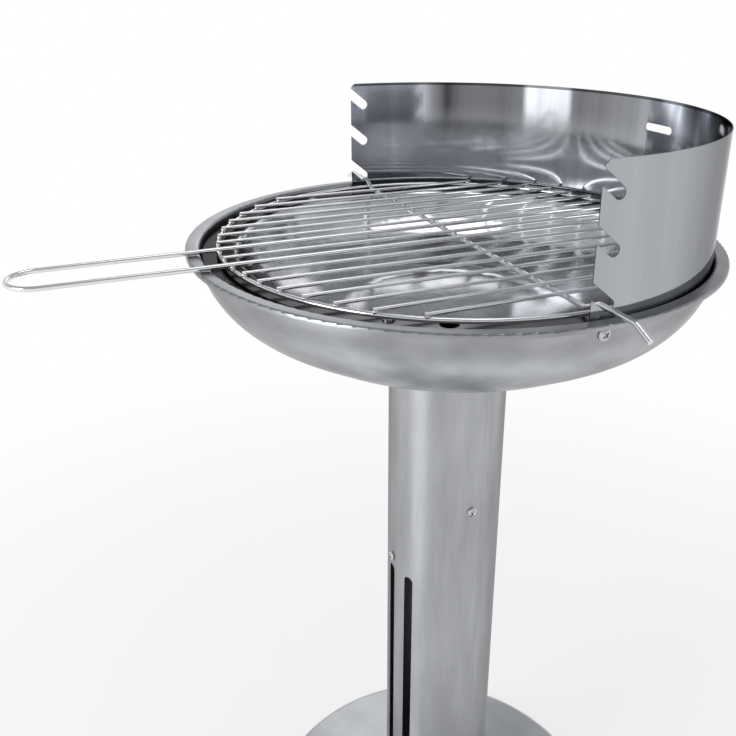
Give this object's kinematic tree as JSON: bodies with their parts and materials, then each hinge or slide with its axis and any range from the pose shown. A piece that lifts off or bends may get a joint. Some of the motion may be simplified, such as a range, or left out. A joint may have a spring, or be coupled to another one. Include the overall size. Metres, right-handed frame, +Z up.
{
  "type": "column barbecue",
  "caption": "Charcoal barbecue on a round column: spun bowl with a half-round notched windshield, liftable wire cooking grid with a long loop handle, fire bowl and dish foot.",
  "frame": {"origin": "on the floor, on the column's axis", "axes": "+Z up, -Y towards the grid's handle, +Y towards the middle of the windshield, X along the grid's cross rod"},
  "size_m": [0.513, 0.581, 0.8235],
  "materials": {
    "brushed_stainless": "satin, brushed round the axis",
    "polished_stainless": "bright rolled",
    "fire_bowl_steel": "satin",
    "galvanised_steel": "dull zinc",
    "zinc_fasteners": "bright zinc",
    "chromed_wire": "bright chrome",
    "black_rubber": "matte"
  },
  "bodies": {
    "stand": {"foot_dish": "brushed_stainless", "foot_trim_ring": "black_rubber", "base_flange": "galvanised_steel", "base_screws": "zinc_fasteners", "base_nuts": "zinc_fasteners", "column_tube": "brushed_stainless", "seam_screws": "zinc_fasteners", "seam_nuts": "zinc_fasteners", "column_hoop": "galvanised_steel", "hoop_screws": "zinc_fasteners", "hoop_nuts": "zinc_fasteners", "top_flange": "galvanised_steel", "bowl_screws": "zinc_fasteners", "bowl_washers": "zinc_fasteners", "bowl_nuts": "zinc_fasteners", "outer_bowl": "brushed_stainless", "fire_bowl": "fire_bowl_steel", "fire_bowl_brackets": "galvanised_steel", "bracket_screws": "zinc_fasteners", "bracket_nuts": "zinc_fasteners", "windshield": "polished_stainless", "shield_screws": "zinc_fasteners", "shield_nuts": "zinc_fasteners"},
    "cooking_grid": {"grid_ring": "chromed_wire", "grid_bars": "chromed_wire", "grid_handle": "chromed_wire", "grid_cross_rod": "chromed_wire"}
  },
  "joints": [
    {"name": "grid_lift", "type": "slide", "parent": "stand", "child": "cooking_grid", "axis": [0, -0.7716, 0.6361], "range_m": [0, 0.06]}
  ]
}
